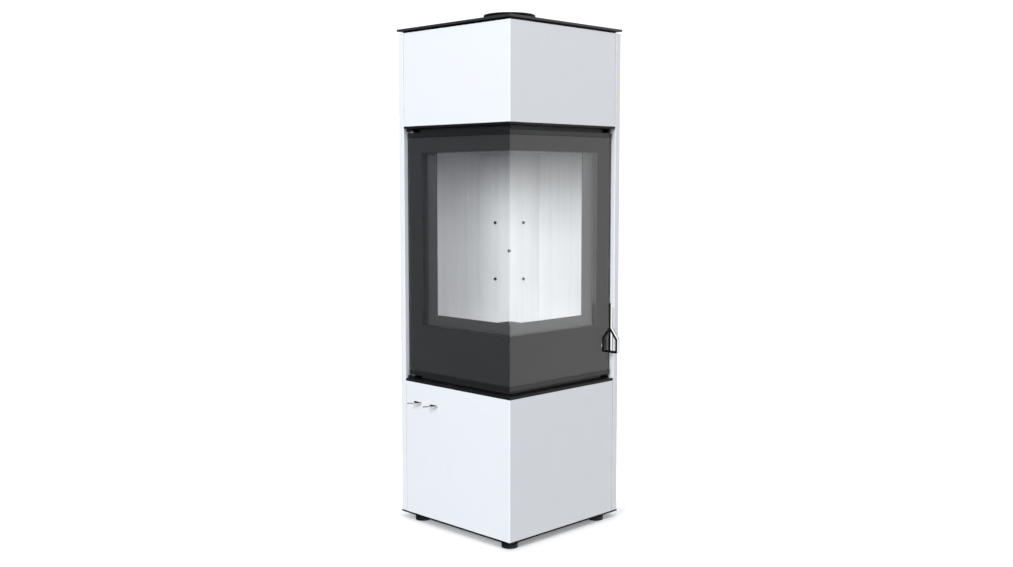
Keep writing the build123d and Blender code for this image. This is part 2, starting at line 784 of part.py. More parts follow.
with BuildPart() as flue_collar:
    with BuildSketch(level(chamber_top + plate + flue_flange_thickness)):
        Circle(flue_bore + flue_wall)
        Circle(flue_bore, mode=Mode.SUBTRACT)
    extrude(amount=collar_top - chamber_top - plate - flue_flange_thickness)
    with BuildSketch(level(chamber_top + plate + spigot_height + fit_gap)):
        Circle(flue_bore + flue_wall / 2)
        Circle(flue_bore - flue_wall, mode=Mode.SUBTRACT)
    extrude(amount=stop_ring_height)
save(flue_collar, "flue_collar")

with BuildPart() as flue_bolts:
    with BuildSketch(level(chamber_top + plate + flue_flange_thickness)):
        with GridLocations(bolt_spacing, bolt_spacing, 2, 2):
            RegularPolygon(bolt_head_radius, 6)
    extrude(amount=bolt_head_height)
save(flue_bolts, "flue_bolts")

# ---------------------------------------------------------------- door
window_edge = door_edge - window_inset
shaft_z = door_bottom + handle_rise + shaft_rise
across_right_face = Plane(
    origin=(column_x, column_y + handle_y, shaft_z), z_dir=(1, 0, 0), x_dir=(0, 1, 0),
)

with BuildPart() as door_frame:
    with BuildSketch(level(glass_bottom)):
        add(corner_band(glass_back, glass_back - door_back, -door_edge, door_edge))
    extrude(amount=glass_height)
    pocket_depth = glass_back - door_back - door_sheet
    with BuildSketch(level(glass_bottom + door_sheet)):
        add(corner_band(glass_back, pocket_depth, door_sheet - door_edge, door_edge - door_sheet))
    extrude(amount=glass_height - 2 * door_sheet, mode=Mode.SUBTRACT)
    rim = window_edge + door_sheet
    with BuildSketch(level(window_low - door_sheet)):
        add(corner_band(glass_back, pocket_depth, -rim, rim))
    extrude(amount=window_high - window_low + 2 * door_sheet)
    with BuildSketch(level(window_low)):
        add(corner_band(glass_back, glass_back - door_back, -window_edge, window_edge))
    extrude(amount=window_high - window_low, mode=Mode.SUBTRACT)
    with BuildSketch(across_right_face):
        Circle(bush_radius)
    extrude(amount=half, mode=Mode.SUBTRACT)
save(door_frame, "door_frame")

with BuildPart() as door_glass:
    with BuildSketch(level(glass_bottom)):
        add(corner_band(glass_face, glass_thickness, -door_edge, door_edge))
    extrude(amount=glass_height)
    front_edge = door_glass.edges().filter_by(Axis.Z).sort_by(lambda edge: (edge @ 0).X - (edge @ 0).Y)[-1]
    fillet(front_edge, glass_edge_round)
    with BuildSketch(across_right_face):
        Circle(bush_radius + fit_gap)
    extrude(amount=half, mode=Mode.SUBTRACT)
save(door_glass, "door_glass")


def door_rail(outer, towards_glass):
    """An angled channel along both faces, open towards the glass, drilled for the hinge pin."""
    web_side = outer if towards_glass > 0 else outer - rail_height
    with BuildPart() as rail:
        with BuildSketch(level(web_side)):
            add(corner_band(glass_face, door_depth, -door_edge, door_edge))
        extrude(amount=rail_height)
        with BuildSketch(level(outer + towards_glass * door_sheet)):
            add(corner_band(
                glass_face - door_sheet, door_depth - 2 * door_sheet,
                hinge_x + hinge_inset - door_sheet, door_edge - door_sheet,
            ))
        extrude(amount=towards_glass * rail_height, mode=Mode.SUBTRACT)
        with BuildSketch(level(outer)):
            with Locations((hinge_x, hinge_y)):
                Circle(pin_radius + running_gap)
        extrude(amount=towards_glass * rail_height, mode=Mode.SUBTRACT)
    return rail


save(door_rail(door_bottom, 1), "door_bottom_rail")
save(door_rail(door_top, -1), "door_top_rail")

seal_inner = window_edge + seal_margin
seal_outer = seal_inner + seal_width
seal_depth = door_back - frame_face - fit_gap
with BuildPart() as door_seal:
    with BuildSketch(level(window_low - seal_margin - seal_width)):
        add(corner_band(door_back, seal_depth, -seal_outer, seal_outer))
    extrude(amount=window_high - window_low + 2 * (seal_margin + seal_width))
    with BuildSketch(level(window_low - seal_margin)):
        add(corner_band(door_back, seal_depth, -seal_inner, seal_inner))
    extrude(amount=window_high - window_low + 2 * seal_margin, mode=Mode.SUBTRACT)
save(door_seal, "door_seal")

# ---------------------------------------------------------------- hinges
lower_bracket_top = lower_shelf_top + bracket_height
upper_bracket_bottom = upper_shelf_bottom - bracket_height


def hinge_bracket(bottom):
    with BuildPart() as bracket:
        with BuildSketch(level(bottom)):
            with Locations((hinge_x, hinge_y)):
                Rectangle(bracket_width, bracket_depth)
                Circle(pin_radius, mode=Mode.SUBTRACT)
        extrude(amount=bracket_height)
    return bracket


save(hinge_bracket(lower_shelf_top), "lower_hinge_bracket")
save(hinge_bracket(upper_bracket_bottom), "upper_hinge_bracket")

with BuildPart() as hinge_pins:
    for low, high in (
        (lower_shelf_top, door_bottom + pin_engagement), (door_top - pin_engagement, upper_shelf_bottom),
    ):
        with BuildSketch(level(low)):
            with Locations((hinge_x, hinge_y)):
                Circle(pin_radius)
        extrude(amount=high - low)
save(hinge_pins, "hinge_pins")

with BuildPart() as hinge_washers:
    for low, high in ((lower_bracket_top, door_bottom - fit_gap), (door_top + fit_gap, upper_bracket_bottom)):
        with BuildSketch(level(low)):
            with Locations((hinge_x, hinge_y)):
                Circle(washer_radius)
                Circle(pin_radius, mode=Mode.SUBTRACT)
        extrude(amount=high - low)
save(hinge_washers, "hinge_washers")

# ---------------------------------------------------------------- handle and latch
handle_plane = Plane(origin=(column_x, column_y + handle_y, 0), z_dir=(0, -1, 0), x_dir=(1, 0, 0))
handle_bottom = door_bottom + handle_rise
handle_middle = handle_inner + handle_width / 2
with BuildPart() as door_handle:
    with BuildSketch(handle_plane):
        with BuildLine():
            Polyline(
                (handle_inner, handle_bottom), (handle_outer, handle_bottom),
                (handle_outer, handle_bottom + handle_knee_height),
                (handle_middle, handle_bottom + handle_loop_height),
                (handle_inner, handle_bottom + handle_knee_height), close=True,
            )
        make_face()
        offset(amount=-handle_strip, mode=Mode.SUBTRACT)
        with Locations((handle_middle, handle_bottom)):
            Rectangle(handle_strip, handle_height, align=(Align.CENTER, Align.MIN))
    extrude(amount=handle_depth / 2, both=True)
    lower_corners = door_handle.edges().filter_by(Axis.Y).group_by(Axis.Z)[0]
    fillet(lower_corners, handle_round)
    top_back = door_handle.edges().filter_by(Axis.X).group_by(Axis.Z)[-1].sort_by(Axis.Y)[-1]
    chamfer(top_back, handle_bevel, handle_depth - 2 * seam)
save(door_handle, "door_handle")

hook_front = door_back - bush_proud - fit_gap
with BuildPart() as handle_shaft:
    with BuildSketch(across_right_face.offset(hook_front - hook_thickness)):
        Circle(shaft_radius)
    extrude(amount=handle_inner - hook_front + hook_thickness)
save(handle_shaft, "handle_shaft")

with BuildPart() as shaft_bush:
    with BuildSketch(across_right_face.offset(door_back - bush_proud)):
        Circle(bush_radius)
        Circle(shaft_radius + running_gap, mode=Mode.SUBTRACT)
    extrude(amount=glass_face - door_back + 2 * bush_proud)
save(shaft_bush, "shaft_bush")

with BuildPart() as latch_hook:
    with BuildSketch(across_right_face.offset(hook_front - hook_thickness)):
        with Locations((-hook_end, 0)):
            Rectangle(hook_length + 2 * hook_end, 2 * hook_end, align=(Align.MIN, Align.CENTER))
        with Locations((hook_length + hook_end, hook_end)):
            Rectangle(hook_length, 2 * hook_end - hook_width, align=(Align.MAX, Align.MAX), mode=Mode.SUBTRACT)
        Circle(shaft_radius, mode=Mode.SUBTRACT)
    extrude(amount=hook_thickness)
save(latch_hook, "latch_hook")

with BuildPart() as latch_catch:
    with BuildSketch(across_right_face.offset(frame_face)):
        with Locations((hook_length, -hook_end - catch_gap - catch_size / 2)):
            Rectangle(catch_size, catch_size)
    extrude(amount=door_back - catch_front_gap - frame_face)
save(latch_catch, "latch_catch")

# ---------------------------------------------------------------- rear screws
with BuildPart() as rear_panel_screws:
    screw_face = Plane(origin=(column_x, column_y + half, 0), z_dir=(0, 1, 0), x_dir=(-1, 0, 0))
    screw_span = upper_cover_top - cover_bottom - 2 * vent_inset
    with BuildSketch(screw_face):
        with Locations((half - rear_flange / 2, (upper_cover_top + cover_bottom) / 2)):
            with GridLocations(0, screw_span / (panel_screw_count - 1), 1, panel_screw_count):
                RegularPolygon(screw_head_radius, 6)
    extrude(amount=screw_head_height)
save(rear_panel_screws, "rear_panel_screws")
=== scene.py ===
import json
from math import cos, pi, radians, sin

import bmesh
import bpy
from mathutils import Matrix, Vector

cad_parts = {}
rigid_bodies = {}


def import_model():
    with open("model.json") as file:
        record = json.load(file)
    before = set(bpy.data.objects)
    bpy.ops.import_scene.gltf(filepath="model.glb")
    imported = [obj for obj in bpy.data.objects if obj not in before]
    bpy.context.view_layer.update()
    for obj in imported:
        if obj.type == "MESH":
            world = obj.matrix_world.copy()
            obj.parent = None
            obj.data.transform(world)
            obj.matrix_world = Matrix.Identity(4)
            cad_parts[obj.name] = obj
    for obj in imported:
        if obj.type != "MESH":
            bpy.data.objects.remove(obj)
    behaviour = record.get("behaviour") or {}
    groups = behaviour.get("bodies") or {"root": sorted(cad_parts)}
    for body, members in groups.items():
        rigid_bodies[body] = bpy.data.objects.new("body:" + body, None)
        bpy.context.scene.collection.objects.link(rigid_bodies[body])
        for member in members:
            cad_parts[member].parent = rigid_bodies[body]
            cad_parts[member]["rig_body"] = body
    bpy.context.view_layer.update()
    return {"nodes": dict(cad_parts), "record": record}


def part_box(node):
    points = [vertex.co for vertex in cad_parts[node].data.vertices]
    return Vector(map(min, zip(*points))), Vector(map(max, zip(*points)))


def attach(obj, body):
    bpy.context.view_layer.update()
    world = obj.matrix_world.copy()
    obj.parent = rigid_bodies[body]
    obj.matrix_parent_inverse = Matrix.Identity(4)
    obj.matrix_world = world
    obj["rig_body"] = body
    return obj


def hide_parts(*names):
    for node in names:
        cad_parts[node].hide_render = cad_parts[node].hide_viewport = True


# Corner wood stove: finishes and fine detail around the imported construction. Metres, +Z up.
# The left face looks along -Y, the right face along +X, and the front corner points between them.

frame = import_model()
nodes = frame["nodes"]
slot_of = {entry["node"]: entry["material_slot"] for entry in frame["record"]["subparts"]}

MM = 0.001
DIAGONAL = 0.7071              # either part of a level direction halfway between X and Y

# ------------------------------------------------------------------ sizes
glass_thickness = 4 * MM
door_depth = 16 * MM           # from the back of the glass to the door's back sheet
side_border = 61 * MM          # dark border beside, under and over the clear window
foot_border = 143.5 * MM
head_border = 45.5 * MM
ink_gap = 0.1 * MM             # from the back of the glass to the middle of the printed border
ink_thickness = 0.12 * MM
ink_inset = 0.5 * MM           # edge of the border, inside the edge of the glass
seal_width = 10 * MM
seal_depth = 7.7 * MM
rope_lay = 14 * MM             # along the seal rope for one turn of its strands
rope_step = 1.6 * MM           # along the seal rope from point to point
strand_count = 4
stud_radius = 5 * MM
sheet_ease = 0.8 * MM          # broken edges of plates and rails
board_ease = 1.5 * MM
small_ease = 0.5 * MM          # castings, latch, pads and collar
strip_ease = 0.6 * MM          # the handle's bent strip
lever_ease = 0.4 * MM
weld_distance = 2e-6           # corners of a node's loose triangles that are one corner
smooth_angle = radians(30)     # flatter edges are shaded round
sharp_angle = radians(40)      # sharper edges are broken
squarely = 0.8                 # least part of a face's normal along the axis that it looks along

# ------------------------------------------------------------------ places read from the frame
base_low, base_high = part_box("base_plate")
middle = (base_low + base_high) / 2
glass_low, glass_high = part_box("door_glass")
seal_low, seal_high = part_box("door_seal")
handle_low, handle_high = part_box("door_handle")
stud_low, stud_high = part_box("foot_studs")
screw_low, screw_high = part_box("rear_panel_screws")

glass_face = middle.y - glass_low.y                # the glass and the door, from the column's middle
glass_back = glass_face - glass_thickness
door_edge = middle.x - glass_low.x
door_back = glass_back - door_depth
window_low = glass_low.z + foot_border
window_high = glass_high.z - head_border


# ------------------------------------------------------------------ node and mesh tools
def add_node(tree, kind, inputs=None, **settings):
    """Adds a node; inputs holds numbers, colours or sockets by the input's name or place."""
    node = tree.nodes.new(kind)
    for setting, value in settings.items():
        setattr(node, setting, value)
    for label, value in (inputs or {}).items():
        if isinstance(value, bpy.types.NodeSocket):
            tree.links.new(value, node.inputs[label])
        else:
            node.inputs[label].default_value = value
    return node


def add_sockets(tree, direction, sockets):
    """Adds named sockets; each is a name, a kind and, for an input, its usual value."""
    for label, kind, *usual in sockets:
        socket = tree.interface.new_socket(label, in_out=direction, socket_type="NodeSocket" + kind)
        if usual:
            socket.default_value = usual[0]


def new_object(name, mesh):
    piece = bpy.data.objects.new(name, mesh)
    bpy.context.scene.collection.objects.link(piece)
    return piece


def mesh_object(name, bm):
    mesh = bpy.data.meshes.new(name)
    bm.to_mesh(mesh)
    bm.free()
    return new_object(name, mesh)


def settle_modifiers(piece):
    """Turns what the piece's modifiers make into its plain mesh."""
    bpy.context.view_layer.update()
    evaluated = piece.evaluated_get(bpy.context.evaluated_depsgraph_get())
    mesh = bpy.data.meshes.new_from_object(evaluated)
    piece.modifiers.clear()
    piece.data = mesh
    return piece


def smooth_by_angle(piece):
    """Smooth shading everywhere but over sharp edges."""
    bm = bmesh.new()
    bm.from_mesh(piece.data)
    for face in bm.faces:
        face.smooth = True
    for edge in bm.edges:
        edge.smooth = len(edge.link_faces) == 2 and edge.calc_face_angle(pi) < smooth_angle
    bm.to_mesh(piece.data)
    bm.free()
    return piece


def paint(piece, *materials):
    piece.data.materials.clear()
    for material in materials:
        piece.data.materials.append(material)


def stand_for(piece, *replaced):
    """The piece rides where the CAD nodes ride and takes their place."""
    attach(piece, nodes[replaced[0]]["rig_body"])
    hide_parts(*replaced)
    return piece


def eased(node, width, *materials):
    """The node's own shape with its sharp edges broken, as on cut plate, castings and board."""
    bm = bmesh.new()
    bm.from_mesh(nodes[node].data)
    bmesh.ops.remove_doubles(bm, verts=bm.verts, dist=weld_distance)
    for face in bm.faces:
        face.material_index = 0
    piece = mesh_object(node + "_eased", bm)
    bevel = piece.modifiers.new("broken_edges", "BEVEL")
    bevel.width = width
    bevel.segments = 1
    bevel.limit_method = "ANGLE"
    bevel.angle_limit = sharp_angle
    settle_modifiers(piece)
    smooth_by_angle(piece)
    paint(piece, *(materials or [FINISH[slot_of[node]]]))
    return stand_for(piece, node)


def grown(name, tree, points, edges=(), facing=None, **values):
    """Runs a geometry tree on bare points or edges and keeps the plain mesh that it makes."""
    mesh = bpy.data.meshes.new(name)
    mesh.from_pydata([tuple(point) for point in points], list(edges), [])
    if facing:
        directions = mesh.attributes.new("facing", "FLOAT_VECTOR", "POINT")
        for entry, direction in zip(directions.data, facing):
            entry.vector = direction
    piece = new_object(name, mesh)
    modifier = piece.modifiers.new("detail", "NODES")
    modifier.node_group = tree
    identifiers = {
        item.name: item.identifier for item in tree.interface.items_tree
        if item.item_type == "SOCKET" and item.in_out == "INPUT"
    }
    for label, value in values.items():
        modifier[identifiers[label]] = value
    return settle_modifiers(piece)


# ------------------------------------------------------------------ geometry trees
def geometry_tree(name, sockets):
    tree = bpy.data.node_groups.new(name, "GeometryNodeTree")
    add_sockets(tree, "INPUT", [("Geometry", "Geometry"), *sockets, ("Material", "Material")])
    add_sockets(tree, "OUTPUT", [("Geometry", "Geometry")])
    return tree, add_node(tree, "NodeGroupInput"), add_node(tree, "NodeGroupOutput")


def end_tree(tree, given, result, geometry):
    """Ends a tree with plain geometry in its material."""
    shaded = add_node(tree, "GeometryNodeSetShadeSmooth", {"Geometry": geometry, "Shade Smooth": True})
    plain = add_node(tree, "GeometryNodeRealizeInstances", {"Geometry": shaded.outputs["Geometry"]})
    finished = add_node(tree, "GeometryNodeSetMaterial", {
        "Geometry": plain.outputs["Geometry"], "Material": given.outputs["Material"],
    })
    tree.links.new(finished.outputs["Geometry"], result.inputs["Geometry"])


def node_maths(tree, operation, first, second=0.0):
    return add_node(tree, "ShaderNodeMath", {0: first, 1: second}, operation=operation).outputs[0]


def rope_tree():
    """Strands laid round a closed path, with a whole number of turns."""
    tree, given, result = geometry_tree("laid_rope", [
        ("Strands", "Int", 4), ("Turns", "Int", 100), ("Points", "Int", 1200),
        ("Strand_radius", "Float", 0.0015), ("Lay_radius", "Float", 0.002),
        ("Corner_radius", "Float", 0.01),
    ])
    path = add_node(tree, "GeometryNodeMeshToCurve", {"Mesh": given.outputs["Geometry"]})
    rounded = add_node(tree, "GeometryNodeFilletCurve", {
        "Curve": path.outputs["Curve"], "Radius": given.outputs["Corner_radius"], "Count": 6,
    }, mode="POLY")
    even = add_node(tree, "GeometryNodeResampleCurve", {
        "Curve": rounded.outputs["Curve"], "Count": given.outputs["Points"],
    })
    strands = add_node(tree, "GeometryNodeDuplicateElements", {
        "Geometry": even.outputs["Curve"], "Amount": given.outputs["Strands"],
    }, domain="SPLINE")
    along = add_node(tree, "GeometryNodeSplineParameter").outputs["Factor"]
    share = node_maths(tree, "DIVIDE", strands.outputs["Duplicate Index"], given.outputs["Strands"])
    turns = node_maths(tree, "ADD", share, node_maths(tree, "MULTIPLY", along, given.outputs["Turns"]))
    angle = node_maths(tree, "MULTIPLY", turns, 2 * pi)
    normal = add_node(tree, "GeometryNodeInputNormal").outputs["Normal"]
    tangent = add_node(tree, "GeometryNodeInputTangent").outputs["Tangent"]
    across = add_node(tree, "ShaderNodeVectorMath", {0: tangent, 1: normal}, operation="CROSS_PRODUCT")
    shifts = []
    for direction, wave in ((normal, "COSINE"), (across.outputs[0], "SINE")):
        reach = node_maths(tree, "MULTIPLY", node_maths(tree, wave, angle), given.outputs["Lay_radius"])
        shifts.append(add_node(
            tree, "ShaderNodeVectorMath", {0: direction, "Scale": reach}, operation="SCALE",
        ).outputs[0])
    shift = add_node(tree, "ShaderNodeVectorMath", {0: shifts[0], 1: shifts[1]}, operation="ADD")
    laid = add_node(tree, "GeometryNodeSetPosition", {
        "Geometry": strands.outputs["Geometry"], "Offset": shift.outputs[0],
    })
    profile = add_node(tree, "GeometryNodeCurvePrimitiveCircle", {
        "Resolution": 6, "Radius": given.outputs["Strand_radius"],
    })
    tubes = add_node(tree, "GeometryNodeCurveToMesh", {
        "Curve": laid.outputs["Geometry"], "Profile Curve": profile.outputs["Curve"],
    })
    end_tree(tree, given, result, tubes.outputs["Mesh"])
    return tree


def turned_to_face(tree, points, shape):
    """Places the shape on each point with its top turned to the point's facing direction."""
    facing = add_node(tree, "GeometryNodeInputNamedAttribute", {"Name": "facing"}, data_type="FLOAT_VECTOR")
    turn = add_node(tree, "FunctionNodeAlignRotationToVector", {"Vector": facing.outputs[0]}, axis="Z")
    return add_node(tree, "GeometryNodeInstanceOnPoints", {
        "Points": points, "Instance": shape, "Rotation": turn.outputs["Rotation"],
    }).outputs["Instances"]


def socket_screw_tree():
    """Low screw heads with a hexagon socket."""
    tree, given, result = geometry_tree("socket_screws", [
        ("Head_radius", "Float", 0.004), ("Head_height", "Float", 0.002), ("Socket_radius", "Float", 0.002),
        ("Socket_depth", "Float", 0.0014), ("Corners", "Int", 24),
    ])
    disc = add_node(tree, "GeometryNodeMeshCircle", {
        "Vertices": given.outputs["Corners"], "Radius": given.outputs["Head_radius"],
    }, fill_type="NGON")

    def raised(mesh, chosen, height):
        node = add_node(tree, "GeometryNodeExtrudeMesh", {
            "Mesh": mesh, "Offset": (0.0, 0.0, 1.0), "Offset Scale": height, "Individual": False,
        }, mode="FACES")
        if chosen is not None:
            tree.links.new(chosen, node.inputs["Selection"])
        return node

    skirt_share, crown_scale = 0.6, 0.78       # the head is straight at first and then draws in
    skirt_height = node_maths(tree, "MULTIPLY", given.outputs["Head_height"], skirt_share)
    crown_height = node_maths(tree, "MULTIPLY", given.outputs["Head_height"], 1 - skirt_share)
    skirt = raised(disc.outputs["Mesh"], None, skirt_height)
    crown = raised(skirt.outputs["Mesh"], skirt.outputs["Top"], crown_height)
    drawn_in = add_node(tree, "GeometryNodeScaleElements", {
        "Geometry": crown.outputs["Mesh"], "Selection": crown.outputs["Top"], "Scale": crown_scale,
    }, domain="FACE")
    rim = raised(drawn_in.outputs["Geometry"], crown.outputs["Top"], 0.0)
    place = add_node(tree, "GeometryNodeInputPosition").outputs["Position"]
    parts = add_node(tree, "ShaderNodeSeparateXYZ", {0: place})
    angle = node_maths(tree, "ARCTAN2", parts.outputs["Y"], parts.outputs["X"])
    within = node_maths(tree, "SUBTRACT", node_maths(tree, "FLOORED_MODULO", angle, pi / 3), pi / 6)
    flat = node_maths(tree, "MULTIPLY", given.outputs["Socket_radius"], cos(pi / 6))
    reach = node_maths(tree, "DIVIDE", flat, node_maths(tree, "COSINE", within))
    hexagon = add_node(tree, "ShaderNodeCombineXYZ", {
        "X": node_maths(tree, "MULTIPLY", reach, node_maths(tree, "COSINE", angle)),
        "Y": node_maths(tree, "MULTIPLY", reach, node_maths(tree, "SINE", angle)),
        "Z": parts.outputs["Z"],
    })
    mouth = add_node(tree, "GeometryNodeSetPosition", {
        "Geometry": rim.outputs["Mesh"], "Selection": rim.outputs["Top"], "Position": hexagon.outputs[0],
    })
    downward = node_maths(tree, "MULTIPLY", given.outputs["Socket_depth"], -1.0)
    sunk = raised(mouth.outputs["Geometry"], rim.outputs["Top"], downward)
    underside = add_node(tree, "GeometryNodeFlipFaces", {"Mesh": disc.outputs["Mesh"]})
    whole = add_node(tree, "GeometryNodeJoinGeometry")
    tree.links.new(sunk.outputs["Mesh"], whole.inputs[0])
    tree.links.new(underside.outputs["Mesh"], whole.inputs[0])
    closed = add_node(tree, "GeometryNodeMergeByDistance", {
        "Geometry": whole.outputs[0], "Distance": weld_distance / 2,
    })
    screws = turned_to_face(tree, given.outputs["Geometry"], closed.outputs["Geometry"])
    end_tree(tree, given, result, screws)
    return tree


def thread_tree():
    """Threaded rods: a core with a helical ridge that stands half its pitch high."""
    tree, given, result = geometry_tree("threaded_rods", [
        ("Radius", "Float", 0.005), ("Pitch", "Float", 0.0015), ("Length", "Float", 0.03),
    ])
    depth = node_maths(tree, "MULTIPLY", given.outputs["Pitch"], 0.5)
    ridge_radius = node_maths(tree, "SUBTRACT", given.outputs["Radius"], depth)
    run = node_maths(tree, "SUBTRACT", given.outputs["Length"], node_maths(tree, "MULTIPLY", depth, 2.0))
    helix = add_node(tree, "GeometryNodeCurveSpiral", {
        "Resolution": 20, "Rotations": node_maths(tree, "DIVIDE", run, given.outputs["Pitch"]),
        "Start Radius": ridge_radius, "End Radius": ridge_radius, "Height": run,
    })
    lifted = add_node(tree, "GeometryNodeSetPosition", {
        "Geometry": helix.outputs["Curve"],
        "Offset": add_node(tree, "ShaderNodeCombineXYZ", {"Z": depth}).outputs[0],
    })
    profile = add_node(tree, "GeometryNodeCurvePrimitiveCircle", {"Resolution": 4, "Radius": depth})
    ridge = add_node(tree, "GeometryNodeCurveToMesh", {
        "Curve": lifted.outputs["Geometry"], "Profile Curve": profile.outputs["Curve"], "Fill Caps": True,
    })
    core = add_node(tree, "GeometryNodeMeshCylinder", {
        "Vertices": 20, "Radius": ridge_radius, "Depth": given.outputs["Length"],
    })
    half_length = node_maths(tree, "MULTIPLY", given.outputs["Length"], 0.5)
    standing = add_node(tree, "GeometryNodeSetPosition", {
        "Geometry": core.outputs["Mesh"],
        "Offset": add_node(tree, "ShaderNodeCombineXYZ", {"Z": half_length}).outputs[0],
    })
    whole = add_node(tree, "GeometryNodeJoinGeometry")
    tree.links.new(standing.outputs["Geometry"], whole.inputs[0])
    tree.links.new(ridge.outputs["Mesh"], whole.inputs[0])
    rods = add_node(tree, "GeometryNodeInstanceOnPoints", {
        "Points": given.outputs["Geometry"], "Instance": whole.outputs[0],
    })
    end_tree(tree, given, result, rods.outputs["Instances"])
    return tree


# ------------------------------------------------------------------ shader tools and shared groups
def shader_group(name, inputs, outputs):
    tree = bpy.data.node_groups.new(name, "ShaderNodeTree")
    add_sockets(tree, "INPUT", inputs)
    add_sockets(tree, "OUTPUT", outputs)
    return tree, add_node(tree, "NodeGroupInput"), add_node(tree, "NodeGroupOutput")


def noise(tree, vector, scale, detail, roughness):
    return add_node(tree, "ShaderNodeTexNoise", {
        "Vector": vector, "Scale": scale, "Detail": detail, "Roughness": roughness,
    }).outputs["Fac"]


def ranged(tree, value, start, stop, low=0.0, high=1.0):
    """Runs from low to high while the value runs from start to stop, and stays level beyond."""
    return add_node(tree, "ShaderNodeMapRange", {
        "Value": value, "From Min": start, "From Max": stop, "To Min": low, "To Max": high,
    }).outputs["Result"]


def mixed(tree, factor, first, second):
    """The first colour where the factor is 0 and the second where it is 1."""
    return add_node(tree, "ShaderNodeMix", {0: factor, 6: first, 7: second}, data_type="RGBA").outputs[2]


def object_place(tree):
    return add_node(tree, "ShaderNodeTexCoord").outputs["Object"]


def sprayed_grain_group():
    """Orange peel and grain of a sprayed or cast skin."""
    tree, given, result = shader_group(
        "sprayed_grain",
        [("Grain", "Float", 900.0), ("Patch", "Float", 12.0), ("Smoothest", "Float", 0.25),
         ("Roughest", "Float", 0.35)],
        [("Roughness", "Float"), ("Height", "Float")],
    )
    place = object_place(tree)
    fine = noise(tree, place, given.outputs["Grain"], detail=4.0, roughness=0.6)
    broad = noise(tree, place, given.outputs["Patch"], detail=3.0, roughness=0.55)
    halves = [node_maths(tree, "MULTIPLY", pattern, 0.5) for pattern in (fine, broad)]
    both = node_maths(tree, "ADD", *halves)
    rough = ranged(tree, both, 0.35, 0.65, given.outputs["Smoothest"], given.outputs["Roughest"])
    tree.links.new(rough, result.inputs["Roughness"])
    tree.links.new(fine, result.inputs["Height"])
    return tree


def drawn_lines_group():
    """Fine lines of rolled, drawn or brushed metal, long where the stretch is small."""
    tree, given, result = shader_group(
        "drawn_lines",
        [("Stretch", "Vector", (4.0, 900.0, 900.0)), ("Smoothest", "Float", 0.2),
         ("Roughest", "Float", 0.4)],
        [("Roughness", "Float"), ("Height", "Float"), ("Shade", "Float")],
    )
    stretched = add_node(tree, "ShaderNodeVectorMath", {
        0: object_place(tree), 1: given.outputs["Stretch"],
    }, operation="MULTIPLY")
    lines = noise(tree, stretched.outputs[0], 1.0, detail=5.0, roughness=0.65)
    rough = ranged(tree, lines, 0.3, 0.7, given.outputs["Smoothest"], given.outputs["Roughest"])
    tree.links.new(rough, result.inputs["Roughness"])
    tree.links.new(lines, result.inputs["Height"])
    tree.links.new(ranged(tree, lines, 0.3, 0.7), result.inputs["Shade"])
    return tree


def settled_dust_group():
    """Thin pale dust on faces that look up."""
    tree, given, result = shader_group(
        "settled_dust",
        [("Colour", "Color", (0.5, 0.5, 0.5, 1)), ("Dust", "Color", (0.5, 0.49, 0.47, 1)),
         ("Amount", "Float", 0.1)],
        [("Colour", "Color")],
    )
    normal = add_node(tree, "ShaderNodeNewGeometry").outputs["Normal"]
    upward = ranged(tree, add_node(tree, "ShaderNodeSeparateXYZ", {0: normal}).outputs["Z"], 0.7, 1.0)
    specks = ranged(tree, noise(tree, object_place(tree), 60.0, detail=6.0, roughness=0.7), 0.4, 0.75)
    cover = node_maths(tree, "MULTIPLY", upward, specks)
    amount = node_maths(tree, "MULTIPLY", cover, given.outputs["Amount"])
    dusty = mixed(tree, amount, given.outputs["Colour"], given.outputs["Dust"])
    tree.links.new(dusty, result.inputs["Colour"])
    return tree


SPRAYED_GRAIN = sprayed_grain_group()
DRAWN_LINES = drawn_lines_group()
SETTLED_DUST = settled_dust_group()


# ------------------------------------------------------------------ materials
def new_material(name, **constants):
    """A material whose shader has the given constant values by input name."""
    material = bpy.data.materials.new(name)
    material.use_nodes = True
    shader = material.node_tree.nodes["Principled BSDF"]
    for label, value in constants.items():
        shader.inputs[label.replace("_", " ")].default_value = value
    return material, material.node_tree, shader


def use_group(tree, group, values):
    return add_node(tree, "ShaderNodeGroup", values, node_tree=group)


def bump(tree, shader, height, strength, distance):
    node = add_node(tree, "ShaderNodeBump", {"Strength": strength, "Distance": distance, "Height": height})
    tree.links.new(node.outputs["Normal"], shader.inputs["Normal"])


def drifting(tree, colour, other, scale):
    """A colour that drifts slowly over the surface towards another one."""
    drift = ranged(tree, noise(tree, object_place(tree), scale, detail=4.0, roughness=0.6), 0.3, 0.7)
    return mixed(tree, drift, colour, other)


def painted(name, colour, other, rough, grain, peel, dust=0.0, **constants):
    """Sprayed or printed colour with its grain, from the smoothest to the roughest, and dust if asked."""
    material, tree, shader = new_material(name, **constants)
    skin = use_group(tree, SPRAYED_GRAIN, {"Grain": grain, "Smoothest": rough[0], "Roughest": rough[1]})
    result = drifting(tree, colour, other, scale=5.0)
    if dust:
        result = use_group(tree, SETTLED_DUST, {"Colour": result, "Amount": dust}).outputs["Colour"]
    tree.links.new(result, shader.inputs["Base Color"])
    tree.links.new(skin.outputs["Roughness"], shader.inputs["Roughness"])
    bump(tree, shader, skin.outputs["Height"], strength=peel, distance=0.1 * MM)
    return material


